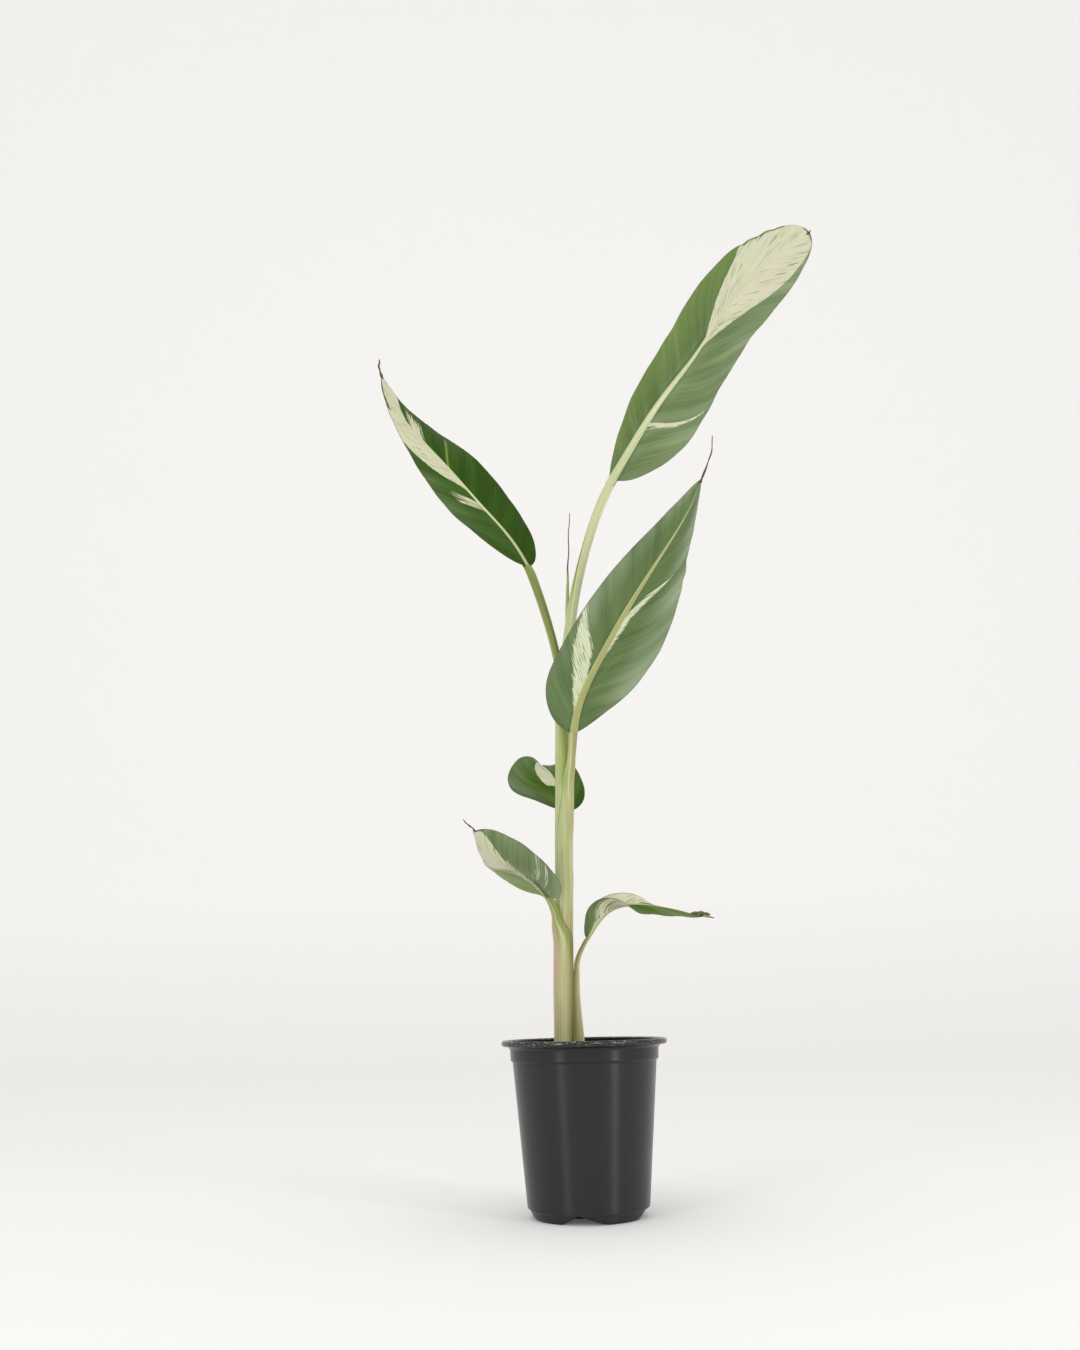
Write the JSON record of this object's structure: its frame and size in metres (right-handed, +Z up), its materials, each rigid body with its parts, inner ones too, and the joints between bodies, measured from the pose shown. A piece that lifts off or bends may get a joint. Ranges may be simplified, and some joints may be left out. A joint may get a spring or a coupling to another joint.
{
  "type": "potted banana plant",
  "caption": "Young variegated banana plant with a slim pseudostem, arching petioles and broad pointed blades, growing in a round black nursery pot.",
  "frame": {"origin": "middle of the pot's flat underside, on the surface that the pot stands on", "axes": "+Z up along the pot's axis, +X to the right of the plant's front, +Y away behind it"},
  "size_m": [0.4642, 0.2429, 0.9503],
  "materials": {
    "pot_plastic": "satin black injection moulded polypropylene",
    "potting_mix": "moist crumbly potting mix with bark and perlite",
    "stem_tissue": "smooth pale yellow-green leaf sheaths and petioles",
    "leaf_blade": "satin variegated green and cream leaf"
  },
  "bodies": {
    "root": {"pot": "pot_plastic", "potting_soil": "potting_mix", "pseudostem": "stem_tissue", "petiole_1": "stem_tissue", "leaf_1": "leaf_blade", "petiole_2": "stem_tissue", "leaf_2": "leaf_blade", "petiole_3": "stem_tissue", "leaf_3": "leaf_blade", "petiole_4": "stem_tissue", "leaf_4": "leaf_blade", "petiole_5": "stem_tissue", "leaf_5": "leaf_blade", "petiole_6": "stem_tissue", "leaf_6": "leaf_blade", "new_leaf": "leaf_blade"}
  },
  "joints": []
}
